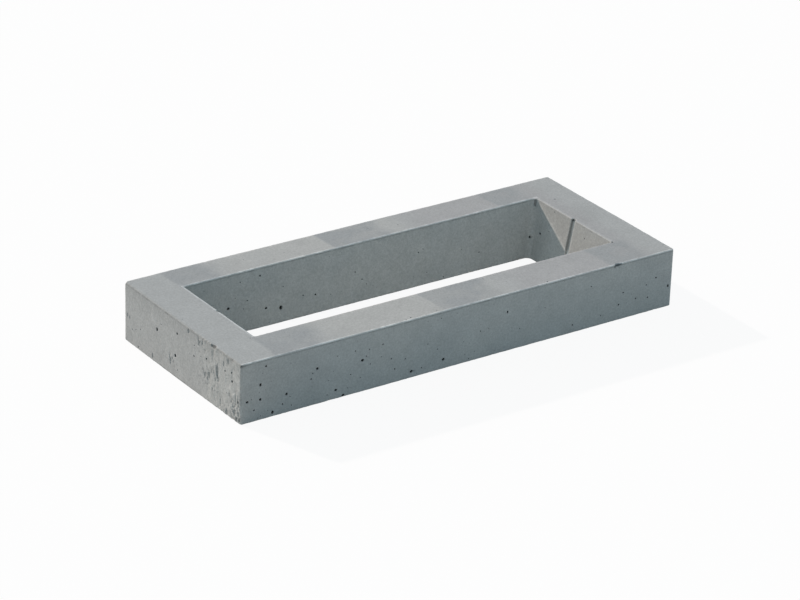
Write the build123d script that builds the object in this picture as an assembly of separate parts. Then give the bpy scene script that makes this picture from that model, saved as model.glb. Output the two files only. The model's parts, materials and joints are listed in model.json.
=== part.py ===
from build123d import *
import os

# Fence block: a rectangular frame cast in one piece of grey concrete.
# It lies flat on its bed face, as a course of the fence is laid.
# One deep opening goes right through it. The opening is the print of the mould's tapered core,
# so its walls are thicker at the underside than at the top face.
# Millimetres. X runs along the block, Y from the near side to the far side, Z up.
# The origin is the middle of the underside.

# Outline of the block
block_length = 600.0
block_width = 250.0
block_height = 73.0
outer_corner_radius = 3.0

# Walls at the top face, and how much thicker each one is at the underside
end_wall_top = 51.5
side_wall_top = 50.0
end_wall_batter = 13.5
side_wall_batter = 8.5

# The core stood off the middle of the mould, so the far side wall is the thinner one
core_offset = 4.0
opening_corner_radius = 3.0

# Half-round groove down each end wall's inner face, on the opening's centre line
groove_radius = 3.6

# Worn edges where the sides and the opening meet the bed faces
top_arris_radius = 0.8
bottom_arris_radius = 0.8

# The core and the groove bars stand out past both bed faces, so that they cut right through
cut_margin = 5.0
core_foot = -cut_margin
core_head = block_height + cut_margin


def clear_span(outside, wall_top, batter, z):
    """Clear distance at height z between two battered walls that face each other."""
    wall = wall_top + batter * (block_height - z) / block_height
    return outside - 2 * wall


def core_section(outside, wall_top, batter):
    """Upright section through the middle of the core, wider at the head than at the foot."""
    half_foot = clear_span(outside, wall_top, batter, core_foot) / 2
    half_head = clear_span(outside, wall_top, batter, core_head) / 2
    outline = Polyline(
        (-half_foot, core_foot),
        (half_foot, core_foot),
        (half_head, core_head),
        (-half_head, core_head),
        close=True,
    )
    return make_face(outline)


def make_core():
    """The tapered core: its long section and its cross section, both run right through."""
    long_section = Plane.XZ * core_section(block_length, end_wall_top, end_wall_batter)
    cross_section = Plane.YZ * core_section(block_width, side_wall_top, side_wall_batter)
    core = extrude(long_section, amount=block_width, both=True)
    core &= extrude(cross_section, amount=block_length, both=True)
    faces = core.faces().sort_by(Axis.Z)
    leaning_edges = core.edges() - faces[0].edges() - faces[-1].edges()
    return Pos(0, core_offset, 0) * fillet(leaning_edges, opening_corner_radius)


def make_groove_bar(end):
    """Round bar whose axis lies in the inner face of one end wall: -1 is left, 1 is right."""
    half_foot = clear_span(block_length, end_wall_top, end_wall_batter, core_foot) / 2
    half_head = clear_span(block_length, end_wall_top, end_wall_batter, core_head) / 2
    axis = Line((end * half_foot, core_offset, core_foot), (end * half_head, core_offset, core_head))
    return extrude(Plane(axis @ 0, z_dir=axis % 0) * Circle(groove_radius), amount=axis.length)


def make_slab():
    """The block before it is opened: a slab with its upright corners rounded."""
    on_bed = (Align.CENTER, Align.CENTER, Align.MIN)
    slab = Box(block_length, block_width, block_height, align=on_bed)
    return fillet(slab.edges().filter_by(Axis.Z), outer_corner_radius)


def make_frame_block():
    """The slab opened by the core and the groove bars, then eased along both bed faces."""
    block = make_slab() - make_core() - make_groove_bar(-1) - make_groove_bar(1)
    block = fillet(block.faces().sort_by(Axis.Z)[-1].edges(), top_arris_radius)
    return fillet(block.faces().sort_by(Axis.Z)[0].edges(), bottom_arris_radius)


os.makedirs("parts", exist_ok=True)
export_step(make_frame_block(), "parts/frame_block.step")
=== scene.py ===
import json
import math
from collections import namedtuple

import bpy
import numpy as np
from mathutils import Matrix, Vector
from mathutils.geometry import delaunay_2d_cdt
from mathutils.kdtree import KDTree

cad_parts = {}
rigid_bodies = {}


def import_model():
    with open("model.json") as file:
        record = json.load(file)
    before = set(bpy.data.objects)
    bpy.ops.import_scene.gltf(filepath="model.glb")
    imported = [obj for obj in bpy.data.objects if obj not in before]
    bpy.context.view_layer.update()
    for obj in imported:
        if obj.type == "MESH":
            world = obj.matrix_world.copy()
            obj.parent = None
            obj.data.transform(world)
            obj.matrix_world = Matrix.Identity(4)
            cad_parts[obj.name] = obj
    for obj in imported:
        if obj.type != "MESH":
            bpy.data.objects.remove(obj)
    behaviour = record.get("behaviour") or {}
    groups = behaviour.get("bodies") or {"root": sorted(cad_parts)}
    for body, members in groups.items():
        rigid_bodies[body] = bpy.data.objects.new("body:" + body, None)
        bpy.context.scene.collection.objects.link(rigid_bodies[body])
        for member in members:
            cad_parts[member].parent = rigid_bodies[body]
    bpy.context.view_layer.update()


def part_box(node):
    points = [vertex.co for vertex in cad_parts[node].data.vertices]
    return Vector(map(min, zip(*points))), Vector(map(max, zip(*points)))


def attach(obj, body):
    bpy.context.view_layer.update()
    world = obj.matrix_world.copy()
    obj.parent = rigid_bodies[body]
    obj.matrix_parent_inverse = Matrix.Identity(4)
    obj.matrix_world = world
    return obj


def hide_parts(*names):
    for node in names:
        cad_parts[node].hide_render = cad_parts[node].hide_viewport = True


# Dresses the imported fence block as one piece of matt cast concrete.
# The skin is made of four charts that share their rims: the outer walls, the walls of the
# opening and the two bed faces. Each chart is covered with points, closer together where the
# relief is fine, and triangulated. Waves, worn arrises, air holes, flakes and chips are then
# cut into it. Lengths are millimetres on the frame's axes up to the mesh, which is in metres.

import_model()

MM = 0.001
BLOCK = "frame_block"

# Size of the block, from the frame
low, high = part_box(BLOCK)
length, width, height = ((high - low) / MM)[:]

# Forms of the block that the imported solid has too
outer_corner_radius = 3.0
end_wall_top, end_wall_batter = 51.5, 13.5
side_wall_top, side_wall_batter = 50.0, 8.5
core_offset = 4.0
opening_corner_radius = 3.0
arris_radius = 0.8

# Two corners differ from the rest: the block's near left one and the opening's far right one
near_left_radius = 1.4
opening_far_right_radius = 7.0

# A groove's bottom and the eased mouths beside it
groove_radius = 3.2
groove_mouth_radius = 0.9
groove_half_mouth = math.sqrt((groove_radius + groove_mouth_radius) ** 2 - groove_mouth_radius ** 2)

# Slurry half fills the left groove, which leaves one gentle flank and one steep one
gentle_flank, steep_flank = 30.0, 75.0
gentle_run = 4.5
left_groove_radius = 1.5

half_opening_x = length / 2 - end_wall_top
half_opening_y = width / 2 - side_wall_top
opening_near = core_offset - half_opening_y
opening_far = core_offset + half_opening_y

# Spacing of the skin's points
widest_gap = 5.0
narrowest_gap = 0.32
top_edge_gap = 1.25
bottom_edge_gap = 2.5
corner_gap = 1.4
groove_gap = 0.8
left_end_gap = 1.25
seam_gap = 2.0
gap_growth = 0.55
top_arris_rows, bottom_arris_rows = 4, 3

# In a scoop the spacing is this share of its smaller half size, and it grows faster round it
scoop_gap_share = 0.3
scoop_gap_growth = 1.2 * gap_growth

# In spacings: how far apart a rim's points may stand, how far the others are moved at random,
# and how far they keep from the borders of a wall's chart and of a bed's
rim_slack = 1.3
jitter = 0.18
wall_clearance, bed_clearance = 0.5, 0.6

random = np.random.default_rng(7)


# Outlines

class Outline:
    """A closed line seen from above, walked with the air on its right, read by the way along it."""

    def __init__(self, start, heading, moves):
        self.moves = []
        self.total = 0.0
        place = np.array(start, float)
        for run, turn in moves:
            if run < 1e-6:
                continue
            self.moves.append((self.total, run, turn, place, heading))
            place = place + self.step(run, run, turn, heading)
            heading += turn
            self.total += run

    @staticmethod
    def step(way, run, turn, heading):
        """Where a straight run or an arc has come after some way, from its own start."""
        half_turned = 0.5 * turn * way / run
        chord = way * np.sinc(half_turned / np.pi)
        angle = heading + half_turned
        return np.stack((chord * np.cos(angle), chord * np.sin(angle)), axis=-1)

    def at(self, way):
        """Points of the line and the directions out of the wall there."""
        points = np.zeros((len(way), 2))
        normals = np.zeros((len(way), 2))
        for first, run, turn, place, heading in self.moves:
            here = (way >= first) & (way <= first + run)
            past = way[here] - first
            angle = heading + turn * past / run
            points[here] = place + self.step(past, run, turn, heading)
            normals[here] = np.stack((np.sin(angle), -np.cos(angle)), axis=-1)
        return points, normals


def arc(radius, degrees):
    """One rounded move: positive degrees turn left."""
    turn = math.radians(degrees)
    return radius * abs(turn), turn


def straight(run):
    return run, 0.0


def make_outer_outline():
    """The block's outside, walked from the far side's right end, first to its far left corner."""
    after = (outer_corner_radius, near_left_radius, outer_corner_radius, outer_corner_radius)
    before = (after[-1], *after[:-1])
    moves = []
    for side, radius_before, radius_after in zip((length, width) * 2, before, after):
        moves.append(straight(side - radius_before - radius_after))
        moves.append(arc(radius_after, 90))
    return Outline((length / 2 - outer_corner_radius, width / 2), math.pi, moves)


def groove_moves(bottom_radius, first_flank, first_run, last_flank):
    """The moves across a groove whose flanks lean by some degrees from the wall, and its width."""
    into, out = math.radians(first_flank), math.radians(last_flank)
    bends = groove_mouth_radius + bottom_radius
    last_run = (bends * (math.cos(out) - math.cos(into)) + first_run * math.sin(into)) / math.sin(out)
    moves = [
        arc(groove_mouth_radius, first_flank),
        straight(first_run),
        arc(bottom_radius, -first_flank - last_flank),
        straight(last_run),
        arc(groove_mouth_radius, last_flank),
    ]
    span = bends * (math.sin(into) + math.sin(out))
    return moves, span + first_run * math.cos(into) + last_run * math.cos(out)


def make_opening_outline():
    """The opening at the top face, walked from the near side's right end."""
    long_side = 2 * (half_opening_x - opening_corner_radius)
    half_end = half_opening_y - opening_corner_radius
    past_groove = half_end - groove_half_mouth
    flank = math.degrees(math.atan2(groove_half_mouth, groove_mouth_radius))
    left_groove, left_width = groove_moves(left_groove_radius, gentle_flank, gentle_run, steep_flank)
    right_groove, _ = groove_moves(groove_radius, flank, 0.0, flank)
    corner = arc(opening_corner_radius, -90)
    wider = opening_far_right_radius - opening_corner_radius
    moves = [straight(long_side), corner]
    moves += [straight(half_end + groove_half_mouth - left_width), *left_groove]
    moves += [straight(past_groove), corner]
    moves += [straight(long_side - wider), arc(opening_far_right_radius, -90)]
    moves += [straight(past_groove - wider), *right_groove]
    moves += [straight(past_groove), corner]
    return Outline((half_opening_x - opening_corner_radius, opening_near), math.pi, moves)


def no_lean(points):
    return np.zeros_like(points)


def opening_lean(points):
    """How far each point of the opening's outline has moved at the underside, as the walls thicken."""
    x_share = np.clip(points[:, 0] / (half_opening_x - opening_corner_radius), -1, 1)
    half_end = half_opening_y - opening_corner_radius
    y_marks = (-half_end, -groove_half_mouth, groove_half_mouth, half_end)
    y_share = np.interp(points[:, 1] - core_offset, y_marks, (-1, 0, 0, 1))
    return -np.stack((x_share * end_wall_batter, y_share * side_wall_batter), axis=-1)


# A wall's section is a way too: bottom arris, wall, top arris
arris_way = arris_radius * math.pi / 2
section_way = 2 * arris_way + height - 2 * arris_radius


def wall_points(outline, lean, along, up):
    """Points on a wall and its two arrises, from ways along its outline and up its section."""
    plan, normals = outline.at(along)
    bottom_turn = np.clip(1 - up / arris_way, 0, 1) * math.pi / 2
    top_turn = np.clip(1 - (section_way - up) / arris_way, 0, 1) * math.pi / 2
    inset = arris_radius * (2 - np.cos(bottom_turn) - np.cos(top_turn))
    z = np.clip(up - arris_way, 0, height - 2 * arris_radius) + arris_radius
    z += arris_radius * (np.sin(top_turn) - np.sin(bottom_turn))
    plan = plan - normals * inset[:, None] + lean(plan) * (1 - z / height)[:, None]
    return np.column_stack((plan, z))


# Faces, for placing marks on them

def opening_halves(z, inset=0.0):
    """Half the opening's length and half its width at a height, less an inset."""
    half_x = half_opening_x - inset - end_wall_batter * (height - z) / height
    half_y = half_opening_y - inset - side_wall_batter * (height - z) / height
    return half_x, half_y


def on_face(face, u, v):
    """A point on a face and the way out of it: u runs along the face, and v up or across it."""
    inner_x, inner_y = opening_halves(v)
    end_tilt = end_wall_batter / height
    side_tilt = side_wall_batter / height
    places = {
        "near": ((u, -width / 2, v), (0, -1, 0)),
        "far": ((u, width / 2, v), (0, 1, 0)),
        "left": ((-length / 2, u, v), (-1, 0, 0)),
        "right": ((length / 2, u, v), (1, 0, 0)),
        "top": ((u, v, height), (0, 0, 1)),
        "bottom": ((u, v, 0), (0, 0, -1)),
        "inner near": ((u, core_offset - inner_y, v), (0, 1, side_tilt)),
        "inner far": ((u, core_offset + inner_y, v), (0, -1, side_tilt)),
        "inner left": ((-inner_x, u, v), (1, 0, end_tilt)),
        "inner right": ((inner_x, u, v), (-1, 0, end_tilt)),
    }
    place, out = places[face]
    return np.array(place, float), np.array(out, float) / np.linalg.norm(out)


# Marks

# A scoop is a hollow cut into the skin: its half sizes along the face and up it, its depth, how
# ragged its rim is and how much painted shade darkens its floor, from 0 to 1
Scoop = namedtuple("Scoop", "centre out half_along half_up depth ragged dark")


def hole(face, u, v, radius, deep=1.5):
    """An air hole, nearly round and deeper than its radius."""
    centre, out = on_face(face, u, v)
    squeeze = random.uniform(0.85, 1.15)
    half_along, half_up = radius * squeeze, radius / squeeze
    return Scoop(centre, out, half_along, half_up, radius * deep, ragged=0.12, dark=1.0)


# Air holes that the photograph shows, by face: u, v and radius
seen_holes = {
    "near": (
        (-29, 12, 1.8), (-73, 8, 1.9), (-140, 39, 1.8), (-258, 5.3, 1.8), (-274, 25, 1.6),
        (-291, 26, 1.5), (-274, 43, 1.7), (-165, 2, 1.8), (-175, 11, 1.6), (-200, 44, 1.6),
        (-240, 23, 1.6), (-208, 33, 0.9), (-245, 12, 0.9), (-267, 64, 1.2), (-113, 52, 0.9),
        (-282, 14, 0.9), (-150, 53, 0.8), (-135, 43, 0.7), (-101, 31, 0.8), (-82, 26, 0.8),
        (-96, 17, 0.9), (-59, 9, 0.8), (-38, 27, 0.7), (59, 50, 1.3), (154, 10, 1.0),
        (195, 12, 0.8), (221, 20, 1.1), (227, 34, 1.0), (246, 22, 1.0), (275, 42, 1.1),
        (264, 19, 1.0), (261, 36, 0.8), (294, 27, 1.6),
    ),
    "inner far": (
        (-121, 18, 2.3), (-141, 22, 1.5), (-147, 63, 1.1), (-73, 23, 1.1), (-90, 26, 0.8),
        (-192, 33, 1.7), (-174, 61, 0.7), (237, 26, 1.4), (162, 23, 0.8), (74, 42, 0.8),
        (-166, 37, 0.7),
    ),
    "inner right": ((58.5, 35, 1.5), (43, 43, 0.9)),
    "left": (
        (52, 43, 2.2), (12, 27, 1.9), (8, 56, 1.4), (-54, 51, 1.3), (-28, 43.5, 1.2),
        (-107, 46, 1.6), (-120, 26, 1.6), (-106, 56, 1.1), (-93, 53, 1.0), (93, 3.5, 1.0),
        (117, 19, 0.7), (107, 20, 0.8), (99, 23, 0.7), (89, 27, 0.7), (43, 53, 0.8),
    ),
    "top": ((117, -121, 0.9), (266, 64, 0.9), (-222, 12, 0.7), (-247, -49, 0.7)),
}

# How many small air holes each face has besides, their radii, how strongly they crowd towards
# the foot, and how far they keep from the edges
scattered_holes = {
    "near": 46, "far": 40, "left": 18, "right": 18, "top": 16, "bottom": 14,
    "inner near": 18, "inner far": 24, "inner left": 6, "inner right": 5,
}
smallest_hole, largest_hole = 0.35, 0.8
foot_crowding = 1.3
face_margin = 3.0


def face_spans(face):
    """The stretch of u and of v that a face's scattered holes may take."""
    along_x, along_y = (-length / 2, length / 2), (-width / 2, width / 2)
    if face.startswith("inner"):
        along_x = (-half_opening_x + end_wall_batter, half_opening_x - end_wall_batter)
        along_y = (opening_near + side_wall_batter, opening_far - side_wall_batter)
    if face in ("top", "bottom"):
        return along_x, along_y
    return (along_x if face.endswith(("near", "far")) else along_y), (0, height)


def at_opening(u, v):
    """Whether a place on a bed face lies in the opening or near its rim."""
    within_x = abs(u) < half_opening_x + face_margin
    within_y = opening_near - face_margin < v < opening_far + face_margin
    return within_x and within_y


def make_holes():
    """The air holes that are seen, and small ones scattered at random."""
    holes = [hole(face, *mark) for face, marks in seen_holes.items() for mark in marks]
    for face, count in scattered_holes.items():
        (u_low, u_high), (v_low, v_high) = face_spans(face)
        made = 0
        while made < count:
            # They crowd towards a face's left or near end, and towards its foot
            u_share = 1 - math.sqrt(random.uniform())
            v_share = random.uniform() ** foot_crowding
            u = u_low + face_margin + u_share * (u_high - u_low - 2 * face_margin)
            v = v_low + face_margin + v_share * (v_high - v_low - 2 * face_margin)
            if face in ("top", "bottom") and at_opening(u, v):
                continue
            size = smallest_hole + (largest_hole - smallest_hole) * random.uniform() ** 2
            holes.append(hole(face, u, v, size, deep=1.2))
            made += 1
    return holes


def edge_chip(x, y, z, out, along, across, depth, dark=0.35):
    """A chip off an arris, or off a face beside it."""
    centre = np.array((x, y, z), float)
    direction = np.array(out, float) / np.linalg.norm(out)
    return Scoop(centre, direction, along, across, depth, ragged=0.5, dark=dark)


def make_chips():
    """Chips of the top arrises: two big ones and a few small ones that the photograph shows."""
    near, left = -width / 2, -length / 2
    near_up, left_up = (0, -1, 1), (-1, 0, 1)
    far_left_up, near_left = (-1, 1, 1), (-1, -1, 0)
    opening_right = half_opening_x + 0.5
    opening_front, opening_back = opening_near - 0.5, opening_far - 2
    return [
        edge_chip(216.5, near - 0.2, height, (0, -0.5, 1), 5.0, 3.2, 2.6, dark=0.65),
        edge_chip(212, near, height - 2.5, (0, -1, 0), 1.2, 2.0, 0.8, dark=0.5),
        edge_chip(101, near, height, near_up, 1.8, 1.6, 0.9),
        edge_chip(left, -68, height, left_up, 5.5, 4.6, 3.0, dark=0.6),
        edge_chip(left, -59, height, left_up, 3.0, 2.0, 1.2),
        edge_chip(left, -88, height, left_up, 2.2, 2.6, 1.2),
        edge_chip(left, -23, height, left_up, 2.5, 2.5, 0.9),
        edge_chip(left + 1.5, width / 2 - 1.5, height - 0.5, far_left_up, 3.0, 3.0, 1.0, dark=0.2),
        edge_chip(opening_right, opening_front, height, far_left_up, 2.0, 2.0, 1.4, dark=0.6),
        # A shallow scoop in the opening's far right corner, with painted shade in it along the corner
        edge_chip(opening_right - 2.5, opening_back, height - 5, near_left, 1.6, 5.0, 0.8, dark=0.3),
    ]


# Torn hollows of the left end that the photograph shows: y, z, half sizes along y and up,
# depth, and how much painted shade darkens them
seen_flakes = (
    (-76.5, 45, 2.4, 10.5, 1.5, 0.3), (-79, 36, 2.6, 4.0, 1.2, 0.2),
    (-60.5, 33, 3.2, 5.0, 1.3, 0.2), (-53, 31, 2.2, 4.0, 0.9, 0.15),
    (-68, 63, 4.0, 5.5, 1.0, 0.1), (-99, 67, 1.8, 4.0, 1.2, 0.2),
    (-90, 60, 1.4, 3.5, 0.9, 0.2), (-83.5, 12, 1.5, 8.0, 0.9, 0.2),
    (-97.5, 5, 2.6, 5.0, 0.8, 0.2), (-113, 11, 1.4, 5.0, 0.9, 0.25),
    (-117, 4, 1.6, 3.0, 1.0, 0.35), (-123, 5, 1.4, 3.0, 1.2, 0.6),
    (-121, 22, 1.1, 2.6, 0.9, 0.3), (-38, 64, 1.3, 4.0, 0.9, 0.25),
    (-45, 67, 1.2, 3.0, 0.8, 0.2), (117.5, 34, 1.1, 3.0, 0.7, 0.15),
    (113, 33, 1.0, 2.4, 0.6, 0.1), (62, 6, 1.1, 3.4, 0.9, 0.25),
    (23, 17, 1.2, 4.5, 0.7, 0.15), (-16, 69, 1.8, 3.5, 0.8, 0.2),
)


def flake(y, z, half_along, half_up, depth, dark):
    """A torn hollow of the left end face."""
    centre, out = on_face("left", y, z)
    return Scoop(centre, out, half_along, half_up, depth, ragged=0.45, dark=dark)


scoops = make_holes() + make_chips() + [flake(*mark) for mark in seen_flakes]


# Random fields

def smooth_noise(points, wavelength, seed):
    """A random field from -1 to 1 that changes over about a wavelength, or one for each axis."""
    lattice_size = 64
    lattice = np.random.default_rng(seed).uniform(-1, 1, (lattice_size,) * 3)
    shift = 0.37 * seed
    places = points / np.array(wavelength) + shift
    cell = np.floor(places).astype(int)
    share = places - cell
    share = share * share * (3 - 2 * share)
    total = np.zeros(len(points))
    for corner in np.ndindex(2, 2, 2):
        weight = np.prod(np.where(corner, share, 1 - share), axis=1)
        x, y, z = ((cell + corner) % lattice_size).T
        total += weight * lattice[x, y, z]
    return total


def ease(values, start, end):
    """Rises smoothly from 0 at start to 1 at end."""
    share = np.clip((values - start) / (end - start), 0, 1)
    return share * share * (3 - 2 * share)


# The left end is torn over its near half, up to a line that wanders to and fro by this
torn_from, torn_full = -24.0, -76.0
torn_wander = 16.0


def on_left_end(points):
    """How surely each point is on the left end face, from 0 to 1."""
    return ease(points[:, 0], -length / 2 + 3, -length / 2 + 1)


def roughness(points):
    """How torn the skin is at each point, from 0 to 1."""
    wander = torn_wander * smooth_noise(points, 22, 11)
    return on_left_end(points) * ease(points[:, 1] + wander, torn_from, torn_full)


# Spacing

def rectangle_distance(x, y, half_x, half_y, radius):
    """Signed distance from a rectangle with rounded corners: negative inside it."""
    over_x = np.abs(x) - half_x + radius
    over_y = np.abs(y) - half_y + radius
    outside = np.hypot(np.maximum(over_x, 0), np.maximum(over_y, 0))
    return outside + np.minimum(np.maximum(over_x, over_y), 0) - radius


def wall_distances(points):
    """Distance of each point from the outer walls and from the walls of the opening."""
    x, y, z = points.T
    outer = rectangle_distance(x, y, length / 2, width / 2, outer_corner_radius)
    inner = rectangle_distance(x, y - core_offset, *opening_halves(z), opening_corner_radius)
    return np.abs(outer), np.abs(inner)


def rim_distances(points):
    """Distance of each point from the top arrises and from the bottom arrises."""
    side = np.minimum(*wall_distances(points))
    return np.hypot(side, height - points[:, 2]), np.hypot(side, points[:, 2])


def gap_at(points):
    """How far apart the skin's points stand at each place."""
    x, y, z = points.T
    to_top, to_bottom = rim_distances(points)
    gap = np.full(len(points), widest_gap)
    gap = np.minimum(gap, top_edge_gap + gap_growth * to_top)
    gap = np.minimum(gap, bottom_edge_gap + gap_growth * to_bottom)

    # Upright columns where the points stand closer: the grooves and the corners
    groove_x, _ = opening_halves(z)
    inner_x, inner_y = opening_halves(z, opening_corner_radius)
    outer_x, outer_y = length / 2 - outer_corner_radius, width / 2 - outer_corner_radius
    columns = [(x_side * groove_x, core_offset, groove_half_mouth, groove_gap) for x_side in (-1, 1)]
    for x_side, y_side in ((-1, -1), (-1, 1), (1, -1), (1, 1)):
        columns.append((x_side * outer_x, y_side * outer_y, outer_corner_radius, corner_gap))
        inner_corner = (x_side * inner_x, core_offset + y_side * inner_y)
        columns.append((*inner_corner, opening_corner_radius, corner_gap))
    for column_x, column_y, radius, column_gap in columns:
        away = np.maximum(np.hypot(x - column_x, y - column_y) - radius, 0)
        gap = np.minimum(gap, column_gap + gap_growth * away)

    gap = np.where(on_left_end(points) > 0.02, np.minimum(gap, left_end_gap), gap)
    for scoop in scoops:
        small = min(scoop.half_along, scoop.half_up)
        large = max(scoop.half_along, scoop.half_up)
        inside = max(narrowest_gap, scoop_gap_share * small)
        away = np.maximum(np.linalg.norm(points - scoop.centre, axis=1) - large, 0)
        gap = np.minimum(gap, inside + scoop_gap_growth * away)
    return gap


def spread_points(low_corner, high_corner, to_space):
    """Centres and sizes of square cells, halved until each is as small as the spacing asks."""
    axes = [np.arange(a + widest_gap / 2, b, widest_gap) for a, b in zip(low_corner, high_corner)]
    cells = np.stack(np.meshgrid(*axes), axis=-1).reshape(-1, 2)
    corners = np.array([(-1, -1), (1, -1), (1, 1), (-1, 1)])
    size = widest_gap
    places, sizes = [], []
    while len(cells):
        done = gap_at(to_space(cells)) >= size
        places.append(cells[done])
        sizes.append(np.full(done.sum(), size))
        cells = (cells[~done][:, None] + corners * size / 4).reshape(-1, 2)
        size /= 2
    places, sizes = np.vstack(places), np.concatenate(sizes)
    places += random.uniform(-jitter, jitter, places.shape) * sizes[:, None]
    return places, sizes


def stations(outline, lean, up):
    """Ways along a rim, closer together where the spacing asks it. The last joins the first."""
    ways = np.linspace(0, outline.total, int(outline.total / widest_gap) + 1)
    while True:
        middles = (ways[1:] + ways[:-1]) / 2
        rim = wall_points(outline, lean, middles, np.full(len(middles), up))
        split = np.diff(ways) > rim_slack * gap_at(rim)
        if not split.any():
            return ways[:-1]
        ways = np.sort(np.concatenate((ways, middles[split])))


# Skin

class Skin:
    """The points and triangles of the whole skin. Charts share the points of their rims."""

    def __init__(self):
        self.points = np.zeros((0, 3))
        self.triangles = []

    def add_points(self, points):
        first = len(self.points)
        self.points = np.vstack((self.points, points))
        return np.arange(first, len(self.points))


class Chart:
    """One part of the skin laid flat: its flat points and the skin's points that they stand for."""

    def __init__(self, skin, to_space):
        self.skin = skin
        self.to_space = to_space
        self.flat = np.zeros((0, 2))
        self.ids = np.zeros(0, int)

    def add(self, flat, ids=None):
        """Adds flat points, as new points of the skin unless they stand for old ones."""
        if ids is None:
            ids = self.skin.add_points(self.to_space(flat))
        first = len(self.flat)
        self.flat = np.vstack((self.flat, flat))
        self.ids = np.concatenate((self.ids, ids))
        return np.arange(first, len(self.flat))

    def fill(self, borders, keep=None, upside_down=False):
        """Triangulates the flat points inside the borders, which are closed loops of them."""
        edges = [(int(a), int(b)) for loop in borders for a, b in zip(loop, np.roll(loop, -1))]
        corners = [Vector(place) for place in self.flat]
        inside_only, tolerance = 1, 1e-5
        _, _, faces, origins, _, _ = delaunay_2d_cdt(corners, edges, [], inside_only, tolerance)
        sources = np.array([origin[0] for origin in origins])
        triangles = sources[np.array([face for face in faces if len(face) == 3])]
        if keep is not None:
            triangles = triangles[keep(self.flat[triangles].mean(axis=1))]
        a, b, c = (self.flat[triangles[:, k]] for k in range(3))
        ab, ac = b - a, c - a
        turned = ab[:, 0] * ac[:, 1] - ab[:, 1] * ac[:, 0] < 0
        if upside_down:
            turned = ~turned
        triangles[turned] = triangles[turned][:, ::-1]
        self.skin.triangles.append(self.ids[triangles])


def add_wall(skin, outline, lean):
    """The chart of a wall with its arrises. Returns the ids of its bottom rim and its top rim."""

    def to_space(flat):
        return wall_points(outline, lean, *flat.T)

    def along_row(ways, up):
        return np.column_stack((ways, np.full(len(ways), up)))

    def up_column(way, ups):
        return np.column_stack((np.full(len(ups), way), ups))

    chart = Chart(skin, to_space)
    low_ways, high_ways = (stations(outline, lean, up) for up in (0.0, section_way))
    wall_foot, wall_head = arris_way, section_way - arris_way
    low_ups = np.linspace(0, wall_foot, bottom_arris_rows)
    high_ups = np.linspace(wall_head, section_way, top_arris_rows)
    rows, closings = [], []
    for up, ways in [(up, low_ways) for up in low_ups] + [(up, high_ways) for up in high_ups]:
        row = chart.add(along_row(ways, up))
        rows.append(row)
        closings.append(chart.add(np.array([(outline.total, up)]), chart.ids[row[:1]])[0])

    # The seam is where the chart's two ends meet, at the outline's start
    seam_ups = np.arange(wall_foot + seam_gap, wall_head - seam_gap / 2, seam_gap)
    seam = chart.add(up_column(0.0, seam_ups))
    closing_seam = chart.add(up_column(outline.total, seam_ups), chart.ids[seam])

    inner, sizes = spread_points((0, 0), (outline.total, section_way), to_space)
    along, up = inner.T
    margin = wall_clearance * sizes
    clear = (up > wall_foot + margin) & (up < wall_head - margin)
    clear &= (along > margin) & (along < outline.total - margin)
    chart.add(inner[clear])

    firsts = [row[0] for row in rows]
    split = len(low_ups)
    border = np.concatenate((
        rows[0], closings[:split], closing_seam, closings[split:],
        rows[-1][::-1], firsts[split:-1][::-1], seam[::-1], firsts[1:split][::-1],
    ))
    chart.fill([border])
    return chart.ids[rows[0]], chart.ids[rows[-1]]


def inside_loop(points, loop):
    """Whether each point lies inside a closed loop of points."""
    inside = np.zeros(len(points), bool)
    for a, b in zip(loop, np.roll(loop, -1, axis=0)):
        if a[1] == b[1]:
            continue
        spans = (a[1] > points[:, 1]) != (b[1] > points[:, 1])
        crossing = a[0] + (points[:, 1] - a[1]) * (b[0] - a[0]) / (b[1] - a[1])
        inside ^= spans & (points[:, 0] < crossing)
    return inside


def add_bed(skin, outer_rim, inner_rim, z, upside_down):
    """The chart of a bed face, between the rims of the outer walls and of the opening."""

    def to_space(flat):
        return np.column_stack((flat, np.full(len(flat), z)))

    chart = Chart(skin, to_space)
    borders = [chart.add(skin.points[rim][:, :2], rim) for rim in (outer_rim, inner_rim)]
    opening = skin.points[inner_rim][:, :2]
    tree = KDTree(len(chart.flat))
    for index, point in enumerate(chart.flat):
        tree.insert((*point, 0), index)
    tree.balance()

    inner, sizes = spread_points((-length / 2, -width / 2), (length / 2, width / 2), to_space)
    reach = np.array([tree.find((*point, 0))[2] for point in inner])
    outer_distance = rectangle_distance(*inner.T, length / 2, width / 2, outer_corner_radius)
    clear = (reach > bed_clearance * sizes) & (outer_distance < -arris_radius)
    clear &= ~inside_loop(inner, opening)
    chart.add(inner[clear])
    chart.fill(borders, keep=lambda centres: ~inside_loop(centres, opening), upside_down=upside_down)


def make_skin():
    skin = Skin()
    outer_bottom, outer_top = add_wall(skin, make_outer_outline(), no_lean)
    inner_bottom, inner_top = add_wall(skin, make_opening_outline(), opening_lean)
    add_bed(skin, outer_top, inner_top, height, upside_down=False)
    add_bed(skin, outer_bottom, inner_bottom, 0.0, upside_down=True)
    return skin.points, np.vstack(skin.triangles)


def point_normals(points, triangles):
    a, b, c = (points[triangles[:, k]] for k in range(3))
    across = np.cross(b - a, c - a)
    normals = np.zeros_like(points)
    for k in range(3):
        np.add.at(normals, triangles[:, k], across)
    return normals / np.linalg.norm(normals, axis=1, keepdims=True)


# Relief

# How far the faces swing out and in, over long waves and over short ones
long_wave, short_wave = 0.16, 0.05

# How deep the arrises are worn everywhere, in nicks, and where the skin is torn
even_wear, nick_wear, torn_wear = 0.12, 0.5, 0.5

# The left end's streaks lean towards the near side by this much for each millimetre down
streak_lean = 0.15

# Where the left end is most pitted: y, z and how far it reaches, and the share it has elsewhere
pitted_places = ((20, 17, 12), (-44, 63, 15), (-60, 34, 26), (-114, 14, 28))
least_pitted = 0.12

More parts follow.
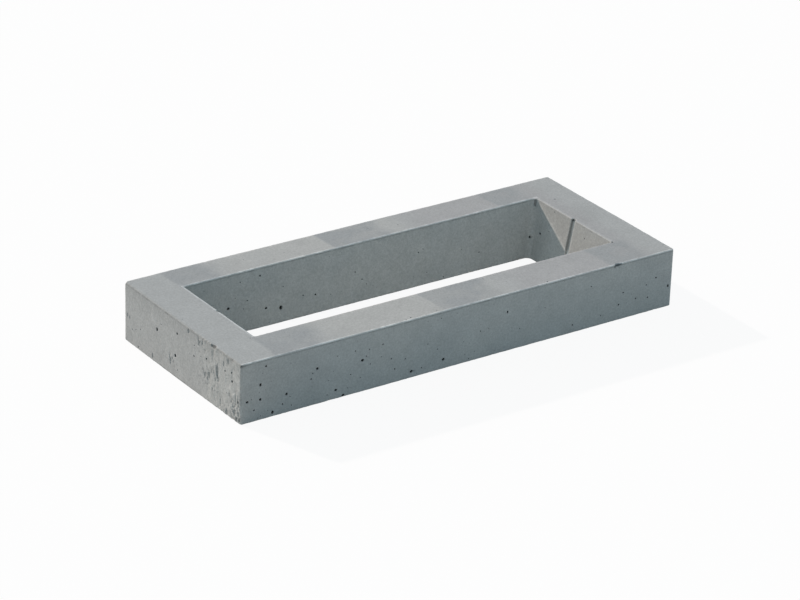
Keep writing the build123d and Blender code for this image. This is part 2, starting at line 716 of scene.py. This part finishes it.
# How much each millimetre of the left end's fine relief lightens it with painted light, or darkens it
# with painted shade where it sinks, and the limits of that
tone_per_height = 0.5
darkest, palest = -0.24, 0.14

# A scoop's hollow is as dark as it gets from this share of its depth down
full_dark_share = 0.42


def make_waves(points, normals):
    """The faces of a cast block are never quite flat."""
    waves = long_wave * smooth_noise(points, 85, 1) + short_wave * smooth_noise(points, 17, 2)
    points += normals * waves[:, None]


def wear_arrises(points, normals):
    """The arrises are eased unevenly, and crumble where the left end is torn."""
    closeness = ease(np.minimum(*rim_distances(points)), 1.8, 0.4)
    wear = even_wear + even_wear * smooth_noise(points, 4, 3)
    wear += nick_wear * np.maximum(smooth_noise(points, 9, 4) - 0.45, 0)
    wear += roughness(points) * (torn_wear + torn_wear * smooth_noise(points, 2.6, 5))
    points -= normals * (closeness * wear)[:, None]


def end_noise(points, wide, tall, seed):
    """A random field on the left end: wide and tall are its wavelengths along y and z."""
    return smooth_noise(points, (50, wide, tall), seed)


def end_flecks(points, wide, tall, seed, start, end):
    """Scattered flecks, from 0 to 1: they stand where such a field rises from start to end."""
    return ease(end_noise(points, wide, tall, seed), start, end)


def tear_left_end(points, normals):
    """Fine scratches and pits all over the left end, and skin torn off over its near half.

    Returns painted light and shade for each point: the relief's hollows are darkened and what stands
    out is lightened.
    """
    rough = roughness(points)
    sway = 2.5 * smooth_noise(points, 15, 17) - streak_lean * points[:, 2]
    leaning = points + np.outer(sway, (0, 1, 0))
    at_corner = ease(points[:, 1], -98, -116)
    pitted = np.zeros(len(points))
    for y, z, reach in pitted_places:
        away = np.hypot(points[:, 1] - y, points[:, 2] - z)
        pitted = np.maximum(pitted, ease(away, reach, 0.4 * reach))
    clustered = least_pitted + (1 - least_pitted) * pitted

    # All over the end, most of all where it is pitted
    scratches = 0.10 * end_noise(leaning, 2.8, 5, 9) + 0.08 * end_noise(leaning, 1.8, 2.4, 12)
    pits = 0.55 * end_flecks(leaning, 2.4, 3.0, 19, 0.42, 0.60)
    pimples = 0.25 * end_flecks(leaning, 2.4, 3.0, 20, 0.44, 0.60)

    # Where it is torn, deepest at the near corner
    broad = 0.30 * end_noise(leaning, 13, 15, 8)
    dents = (0.28 + 0.3 * at_corner) * end_flecks(leaning, 2.4, 6.5, 6, 0.26, 0.48)
    flaps = (0.18 + 0.2 * at_corner) * end_flecks(leaning, 2.2, 5.0, 7, 0.32, 0.50)
    large_patches = 0.35 * end_flecks(leaning, 7, 11, 13, 0.20, 0.32)

    fine = on_left_end(points) * (scratches + clustered * (pimples - pits))
    fine += rough * (0.45 + 0.55 * pitted) * (flaps - dents)
    calm_foot = ease(points[:, 2], -2.0, 5.0)
    points += normals * (calm_foot * (rough * (broad - large_patches) + fine))[:, None]
    return np.clip(tone_per_height * fine, darkest, palest)


def cut_scoops(points):
    """Presses every scoop into the skin. Returns how much painted shade darkens the hollow at each
    point, from 0 to 1.
    """
    dark = np.zeros(len(points))
    flutter = smooth_noise(points, 1.3, 10)
    for scoop in scoops:
        on_bed_face = abs(scoop.out[2]) > 0.9
        helper = (0.0, 1.0, 0.0) if on_bed_face else (0.0, 0.0, 1.0)
        along = np.cross(helper, scoop.out)
        along /= np.linalg.norm(along)
        up = np.cross(scoop.out, along)
        offset = points - scoop.centre
        reach = ((offset @ along) / scoop.half_along) ** 2 + ((offset @ up) / scoop.half_up) ** 2
        reach = reach * (1 + scoop.ragged * flutter)
        level = offset @ scoop.out
        near = (reach < 1) & (np.abs(level) < 3 + 2 * scoop.half_along)
        floor_level = -scoop.depth * np.sqrt(1 - reach[near])
        drop = np.maximum(level[near] - floor_level, 0)
        points[near] -= drop[:, None] * scoop.out
        share = np.clip(drop / (full_dark_share * scoop.depth), 0, 1)
        dark[near] = np.maximum(dark[near], scoop.dark * share)
    return dark


# Tone

# How pale each wall's top arris is, from wear and a painted highlight, and how dark the wall is just
# below it, from dirt and painted shade
rims = {
    "near": (1.3, 0.85), "far": (0.35, 0.6), "left": (0.1, 0.7), "right": (0.2, 0.6),
    "inner near": (0.1, 0.5), "inner far": (1.3, 0.9),
    "inner left": (1.2, 0.6), "inner right": (0.3, 0.3),
}


def rim_wear_and_light(points):
    """How pale the rim of the wall is that each point is nearest to, from wear and a painted
    highlight, and how dark below it, from dirt and painted shade.
    """
    x, y, z = points.T
    inner_x, inner_y = opening_halves(z)
    middle_y = y - core_offset
    past_x = np.maximum(np.abs(x) - inner_x, 0)
    past_y = np.maximum(np.abs(middle_y) - inner_y, 0)
    distances = {
        "near": width / 2 + y,
        "far": width / 2 - y,
        "left": length / 2 + x,
        "right": length / 2 - x,
        "inner near": np.hypot(middle_y + inner_y, past_x),
        "inner far": np.hypot(middle_y - inner_y, past_x),
        "inner left": np.hypot(x + inner_x, past_y),
        "inner right": np.hypot(x - inner_x, past_y),
    }
    nearest = np.argmin(list(distances.values()), axis=0)
    return np.array([rims[name] for name in distances])[nearest].T


# The far wall's shadow on the opening's right wall: its edge runs down by this slope, and the
# painted light and shade change between these two levels of y - slope * z
sun_slope = 1.77
sunlit_to, shaded_from = -57, -51


def right_wall_painted_light(y, z):
    """Painted light and shade on the opening's right wall and its groove: the sunlit head is darkened,
    the shaded foot lightened, the groove shaded in two strips and lit along its near lip.
    """
    shaded = ease(y - sun_slope * z, sunlit_to, shaded_from)
    # Painted light: the sunlit head is darkened, and the part in the far wall's shadow is lightened,
    # most towards the near side
    tone = 0.87 + shaded * (0.18 + 0.14 * ease(y, 60, 22))
    across = np.abs(y - core_offset)
    # Painted shade in strips along the groove's flanks and at its foot and head, and painted light in
    # its middle
    flank_shade_strips = ease(across, 1.4, 2.4) * ease(across, groove_half_mouth, 3.0)
    groove_end_shade = np.maximum(ease(z, 8, 3), ease(z, height - 4, height - 2.5))
    groove_light_and_shade = 1.45 - 0.75 * flank_shade_strips - 0.7 * groove_end_shade * ease(across, 3.2, 2.2)
    # A painted highlight along the groove's near lip
    lip_highlight = ease(np.abs(y - core_offset + groove_half_mouth + 0.3), 1.2, 0.4)
    tone = np.where(across < groove_half_mouth, tone * groove_light_and_shade, tone)
    return tone * (1 + 0.25 * lip_highlight)


def local_tone(points, inside):
    """How much lighter or darker the concrete is here and there, painted light and shade included: 1
    is as it is elsewhere.
    """
    x, y, z = points.T
    left_end = on_left_end(points)
    on_near = ease(y, 2 - width / 2, 1 - width / 2)

    # Right of the opening all is a little darker, and one patch of the top face is more so
    tone = np.where(x > half_opening_x, 0.98, 1.0)
    patch = ease(np.hypot((x - 268) / 20, (y - 12) / 36), 1.2, 0.5)
    tone -= 0.05 * ease(z, height - 0.6, height - 0.2) * patch

    # The left end is darker towards its head, with a painted shadow along the middle of its foot
    tone -= 0.07 * left_end * ease(z, height - 24, height - 5)
    tone -= 0.4 * left_end * ease(z, 1.8, 0.8) * ease(np.abs(y - 15), 34, 26)

    # The near side is darker towards the left, most of all in its top left corner, and it is
    # paler along its right corner
    tone -= 0.07 * on_near * ease(x, -170, -230)
    top_left = ease(x, 9 - length / 2, 2 - length / 2) * ease(z, height - 5, height - 2.5)
    tone -= 0.3 * on_near * top_left
    tone += 0.14 * on_near * ease(x, length / 2 - 3.5, length / 2 - 1.5)

    # Painted light and shade on the opening's right wall
    opening_right_wall = inside & (x > half_opening_x - end_wall_batter - 1)
    opening_right_wall &= (z > 1.0) & (z < height - 0.5)
    tone[opening_right_wall] *= right_wall_painted_light(y[opening_right_wall], z[opening_right_wall])
    return tone


def new_object(name, data):
    made = bpy.data.objects.new(name, data)
    bpy.context.collection.objects.link(made)
    return made


def make_block():
    """The whole block as one mesh, with what its material reads."""
    points, triangles = make_skin()
    normals = point_normals(points, triangles)
    outer, inner = wall_distances(points)
    facing_y = ease(np.abs(normals[:, 1]), 0.8, 0.95)
    worn_and_highlit, dirt_and_shade = rim_wear_and_light(points) * (0.75 + 0.5 * smooth_noise(points, 5, 15))
    masks = {
        "left_end": on_left_end(points),
        "torn": roughness(points),
        "bed_face": ease(normals[:, 2], 0.8, 0.98),
        # Painted bounce light on the opening's long side walls
        "long_walls_painted_light": np.where(inner < outer, facing_y, 0),
        "worn_and_highlit": worn_and_highlit,
        "dirt_and_shade": dirt_and_shade,
        "tone": local_tone(points, inner < outer),
    }
    make_waves(points, normals)
    wear_arrises(points, normals)
    masks["tone"] += tear_left_end(points, normals)
    # How much painted shade darkens each point in the scoops' hollows
    masks["hollow"] = cut_scoops(points)
    mesh = bpy.data.meshes.new("cast_block")
    mesh.from_pydata((points * MM).tolist(), [], triangles.tolist())
    mesh.validate()
    mesh.update()
    mesh.shade_smooth()
    for name, values in masks.items():
        attribute = mesh.attributes.new(name, "FLOAT", "POINT")
        attribute.data.foreach_set("value", values.astype(np.float32))
    return new_object("cast_block", mesh)


# Materials

class Nodes:
    """Short ways to add nodes to a material."""

    def __init__(self, material):
        material.use_nodes = True
        self.tree = material.node_tree
        self.shader = self.tree.nodes["Principled BSDF"]
        self.output = self.tree.nodes["Material Output"]

    def feed(self, node, inputs):
        """Gives some of a node's inputs, by name or number, a value or a link."""
        for name, value in inputs.items():
            if isinstance(value, bpy.types.NodeSocket):
                self.tree.links.new(value, node.inputs[name])
            else:
                node.inputs[name].default_value = value

    def add(self, kind, inputs, **settings):
        node = self.tree.nodes.new(kind)
        for name, value in settings.items():
            setattr(node, name, value)
        self.feed(node, inputs)
        return node

    def math(self, operation, a, b=0.0):
        return self.add("ShaderNodeMath", {0: a, 1: b}, operation=operation).outputs[0]

    def plus(self, a, b):
        return self.math("ADD", a, b)

    def minus(self, a, b):
        return self.math("SUBTRACT", a, b)

    def times(self, a, b):
        return self.math("MULTIPLY", a, b)

    def size(self, a):
        return self.math("ABSOLUTE", a)

    def noise(self, place, scale, detail, roughness):
        inputs = {"Vector": place, "Scale": scale, "Detail": detail, "Roughness": roughness}
        return self.add("ShaderNodeTexNoise", inputs).outputs["Fac"]

    def rise(self, value, start, end, low=0.0, high=1.0, curve="SMOOTHSTEP"):
        """Goes from low to high as the value goes from start to end."""
        inputs = dict(enumerate((value, start, end, low, high)))
        return self.add("ShaderNodeMapRange", inputs, interpolation_type=curve).outputs[0]

    def rise_over(self, value, start, end, high=1.0):
        """Goes from 0 to high as a length goes from start to end, which are in millimetres."""
        return self.rise(value, start * MM, end * MM, 0.0, high)

    def mix(self, share, a, b):
        """A blend of two colours, which this node takes as inputs 6 and 7 and gives as output 2."""
        return self.add("ShaderNodeMix", {0: share, 6: a, 7: b}, data_type="RGBA").outputs[2]

    def attribute(self, name):
        return self.add("ShaderNodeAttribute", {}, attribute_name=name).outputs["Fac"]


# Colours of the concrete, as light it gives back
wall_plain = (0.392, 0.400, 0.388, 1)
wall_warm = (0.402, 0.406, 0.390, 1)
bed_plain = (0.369, 0.382, 0.382, 1)
bed_warm = (0.398, 0.404, 0.396, 1)
bed_dull = (0.357, 0.361, 0.364, 1)
batten_mark = (0.303, 0.318, 0.325, 1)
end_skin = (0.350, 0.361, 0.353, 1)
end_torn = (0.376, 0.386, 0.372, 1)
# The painted shade that darkens the floors of air holes, chips and flakes
hollow_painted_shade = (0.035, 0.037, 0.036, 1)

# Random fields in the concrete: their scale in cells to a metre, their detail and roughness
fields = {
    "clouds": (14, 4, 0.55),
    "wander": (22, 4, 0.55),
    "blotches": (30, 4, 0.6),
    "mottle": (75, 5, 0.6),
    "pores": (240, 3, 0.55),
    "grain": (400, 3, 0.8),
}
speck_scale = 150

# How strongly the fields change the walls and the bed faces
wall_mottle, bed_mottle = 0.30, 0.16
wall_grain, bed_grain = 0.32, 0.24
blotch_strength = 0.16

# How much lighter the concrete is on pale rims (wear and painted highlight), on dark ones (dirt and
# painted shade), in specks and on the opening's long walls (painted bounce light)
shade_changes = (0.42, -0.34, -0.38, 0.08)

# Where along x the bed face's warm colour and its dull one come in and go out
warm_in, warm_out = (-230, -150), (90, 30)
dull_in, dull_out = (50, 110), (280, 250)

# Marks of battens between stacked blocks: where each one's left and right edges cross the
# middle of the near side wall, and of the far one
batten_marks = (((-254, -187), (-253, -200)), ((-29, 54), (-44, 35)), ((206, 262), (192, 244)))

# Their left edges are sharp and wander by a share, and their right edges are soft
batten_sharp_fade, batten_soft_fade = 3.0, 12.0
batten_wander, sharp_wander_share = 40, 0.3

# How clear of them the end walls are between the side walls
end_clearing = 0.85

# The lines along the top arrises, from where each fades out to where it is full: the pale one
# across the rim and down from it, and the dark one's upper side and its lower side. The pale one
# is wear and a painted highlight, the dark one dirt and painted shade
pale_across, pale_down = (3.6, 2.0), (1.3, 0.5)
dark_line_begins, dark_line_ends = (0.7, 1.3), (3.2, 2.0)

# On the left end the dark line begins this much nearer the edge
dark_line_earlier = 0.65


def batten_share(nodes, x, y, wander):
    """How much of a batten's mark is at each place on a bed face."""
    near_y = (opening_near - width / 2) / 2 * MM
    far_y = (opening_far + width / 2) / 2 * MM
    share = 0.0
    for (near_left, near_right), (far_left, far_right) in batten_marks:
        left = nodes.rise(y, near_y, far_y, near_left * MM, far_left * MM, curve="LINEAR")
        right = nodes.rise(y, near_y, far_y, near_right * MM, far_right * MM, curve="LINEAR")
        past_left = nodes.plus(nodes.minus(x, left), nodes.times(wander, sharp_wander_share))
        past_right = nodes.minus(nodes.plus(x, wander), right)
        band = nodes.times(
            nodes.rise_over(past_left, -batten_sharp_fade, batten_sharp_fade),
            nodes.rise_over(past_right, batten_soft_fade, -batten_soft_fade),
        )
        share = nodes.math("MAXIMUM", share, band)
    on_ends = nodes.rise_over(nodes.size(x), half_opening_x - 12, half_opening_x + 4)
    from_middle = nodes.size(nodes.minus(y, core_offset * MM))
    clear = nodes.rise_over(from_middle, half_opening_y + 8, half_opening_y - 8, end_clearing)
    return nodes.times(share, nodes.minus(1.0, nodes.times(on_ends, clear)))


def rim_lines(nodes, x, y, z):
    """Fine lines along the top arrises, from 0 to 1: pale ones on the rims, of wear and painted
    highlight, and dark ones below, of dirt and painted shade.
    """
    from_x = nodes.size(x)
    from_y = nodes.size(nodes.minus(y, core_offset * MM))
    to_end = nodes.minus(length / 2 * MM, from_x)
    to_side = nodes.minus(width / 2 * MM, nodes.size(y))
    past_x = nodes.minus(from_x, half_opening_x * MM)
    past_y = nodes.minus(from_y, half_opening_y * MM)
    to_opening = nodes.size(nodes.math("MAXIMUM", past_x, past_y))
    side = nodes.math("MINIMUM", nodes.math("MINIMUM", to_end, to_side), to_opening)
    below = nodes.minus(height * MM, z)
    pale = nodes.times(nodes.rise_over(side, *pale_across), nodes.rise_over(below, *pale_down))
    earlier = nodes.times(nodes.attribute("left_end"), dark_line_earlier * MM)
    begins, full = (nodes.minus(depth * MM, earlier) for depth in dark_line_begins)
    dirt_and_shade = nodes.times(nodes.rise_over(below, *dark_line_ends), nodes.rise(below, begins, full))
    return (
        nodes.times(pale, nodes.attribute("worn_and_highlit")),
        nodes.times(dirt_and_shade, nodes.attribute("dirt_and_shade")),
    )


def specks(nodes, place):
    """Sparse dark specks, too small to be modelled as holes."""
    inputs = {"Scale": speck_scale, "Vector": place}
    cells = nodes.add("ShaderNodeTexVoronoi", inputs, feature="F1")
    chosen = nodes.add("ShaderNodeSeparateColor", {0: cells.outputs["Color"]})
    dot = nodes.rise(cells.outputs["Distance"], 0.11, 0.05)
    return nodes.times(dot, nodes.rise(chosen.outputs[0], 0.72, 0.8))


def concrete_colour(nodes, x, y, noise):
    """The colour of the walls, of the bed faces and of the left end, before it is shaded."""
    warm = nodes.times(nodes.rise_over(x, *warm_in), nodes.rise_over(x, *warm_out))
    warm = nodes.times(warm, nodes.rise(noise["clouds"], 0.3, 0.5, 0.6, 1.0))
    bed = nodes.mix(warm, bed_plain, bed_warm)
    dull = nodes.times(nodes.rise_over(x, *dull_in), nodes.rise_over(x, *dull_out))
    bed = nodes.mix(dull, bed, bed_dull)
    wander = nodes.times(nodes.minus(noise["wander"], 0.5), batten_wander * MM)
    patchy = nodes.rise(noise["blotches"], 0.38, 0.58, 0.55, 1.05)
    bed = nodes.mix(nodes.times(batten_share(nodes, x, y, wander), patchy), bed, batten_mark)

    wall = nodes.mix(nodes.rise(noise["clouds"], 0.38, 0.62), wall_plain, wall_warm)
    colour = nodes.mix(nodes.attribute("bed_face"), wall, bed)
    end = nodes.mix(nodes.attribute("torn"), end_skin, end_torn)
    return nodes.mix(nodes.attribute("left_end"), colour, end)


def concrete_shade(nodes, place, x, y, z, noise):
    """How much lighter or darker each place is than its colour says, painted light and shade among it:
    1 is as it says.
    """
    bed_face = nodes.attribute("bed_face")
    mottle_strength = nodes.rise(bed_face, 0, 1, wall_mottle, bed_mottle)
    mottle = nodes.times(nodes.minus(noise["mottle"], 0.5), mottle_strength)
    blotch = nodes.times(nodes.minus(noise["blotches"], 0.5), blotch_strength)
    shade = nodes.plus(nodes.plus(mottle, blotch), 1.0)
    grain_strength = nodes.rise(bed_face, 0, 1, wall_grain, bed_grain)
    grain = nodes.minus(nodes.rise(noise["grain"], 0.25, 0.75), 0.5)
    shade = nodes.times(shade, nodes.plus(nodes.times(grain, grain_strength), 1.0))
    pale, dirt_and_shade = rim_lines(nodes, x, y, z)
    shares = (pale, dirt_and_shade, specks(nodes, place), nodes.attribute("long_walls_painted_light"))
    for share, change in zip(shares, shade_changes):
        shade = nodes.times(shade, nodes.plus(nodes.times(share, change), 1.0))
    return nodes.times(shade, nodes.attribute("tone"))


def make_concrete():
    material = bpy.data.materials.new("cast_concrete")
    nodes = Nodes(material)
    place = nodes.add("ShaderNodeTexCoord", {}).outputs["Object"]
    axes = nodes.add("ShaderNodeSeparateXYZ", {0: place})
    x, y, z = (axes.outputs[name] for name in "XYZ")
    noise = {name: nodes.noise(place, *settings) for name, settings in fields.items()}
    colour = concrete_colour(nodes, x, y, noise)
    shade = concrete_shade(nodes, place, x, y, z, noise)
    shaded = nodes.add("ShaderNodeVectorMath", {0: colour, "Scale": shade}, operation="SCALE")
    texture = nodes.plus(noise["grain"], nodes.times(noise["pores"], 1.5))
    relief = {"Strength": 0.35, "Distance": 0.15 * MM, "Height": texture}
    nodes.feed(nodes.shader, {
        "Base Color": nodes.mix(nodes.attribute("hollow"), shaded.outputs[0], hollow_painted_shade),
        "Roughness": nodes.rise(noise["mottle"], 0.2, 0.8, 0.82, 0.95),
        "Specular IOR Level": 0.3,
        "Normal": nodes.add("ShaderNodeBump", relief).outputs[0],
    })
    return material


def make_floor_material():
    """A pale floor, nearly white to the camera, with a trace of the block's shadow."""
    whiteness = 0.93
    material = bpy.data.materials.new("floor")
    nodes = Nodes(material)
    nodes.feed(nodes.shader, {"Base Color": (0.8, 0.8, 0.8, 1), "Roughness": 0.9})
    rays = nodes.add("ShaderNodeLightPath", {}).outputs
    seen = nodes.math("MAXIMUM", rays["Is Camera Ray"], rays["Is Glossy Ray"])
    seen = nodes.math("MAXIMUM", seen, rays["Is Transmission Ray"])
    white = nodes.add("ShaderNodeEmission", {"Strength": 1.0}).outputs[0]
    inputs = {0: nodes.times(seen, whiteness), 1: nodes.shader.outputs[0], 2: white}
    blend = nodes.add("ShaderNodeMixShader", inputs)
    nodes.feed(nodes.output, {"Surface": blend.outputs[0]})
    return material


# Stage, in metres

def make_floor():
    half_side, drop = 6.0, 0.0003
    mesh = bpy.data.meshes.new("floor")
    sides = ((-1, -1), (1, -1), (1, 1), (-1, 1))
    corners = [(x * half_side, y * half_side, low.z - drop) for x, y in sides]
    mesh.from_pydata(corners, [], [(0, 1, 2, 3)])
    mesh.materials.append(make_floor_material())
    floor = new_object("floor", mesh)


def make_light():
    """Low sun from the far left, and a slightly cool sky."""
    lamp = bpy.data.lights.new("sun", "SUN")
    lamp.energy = 3.77
    lamp.color = (1, 0.86, 0.78)
    lamp.angle = math.radians(1.5)
    shines_along = Vector((0.27, -0.78, -0.44))
    new_object("sun", lamp).rotation_euler = shines_along.to_track_quat("-Z", "Y").to_euler()
    world = bpy.data.worlds.new("sky")
    world.use_nodes = True
    sky = world.node_tree.nodes["Background"]
    sky.inputs["Color"].default_value = (0.71, 0.89, 1, 1)
    sky.inputs["Strength"].default_value = 0.535
    bpy.context.scene.world = world


def make_camera():
    """The photograph's view, solved from the block's edges."""
    aim = Vector((-0.01258, -0.01258, 0.0365))
    distance = 3.921
    azimuth, elevation, roll = (math.radians(angle) for angle in (-35.25, 25.31, 2.00))
    data = bpy.data.cameras.new("camera")
    data.lens = 152.67
    data.sensor_width = 36
    data.clip_end = 100
    camera = new_object("camera", data)
    ahead = math.cos(elevation)
    back = Vector((math.sin(azimuth) * ahead, -math.cos(azimuth) * ahead, math.sin(elevation)))
    level = Vector((0, 0, 1)).cross(back).normalized()
    right = level * math.cos(roll) + back.cross(level) * math.sin(roll)
    turned = Matrix((right, back.cross(right), back)).transposed().to_4x4()
    turned.translation = aim + back * distance
    camera.matrix_world = turned
    bpy.context.scene.camera = camera


block = make_block()
block.data.materials.append(make_concrete())
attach(block, "root")
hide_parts(BLOCK)

make_floor()
make_light()
make_camera()
bpy.context.scene.view_settings.view_transform = "Standard"
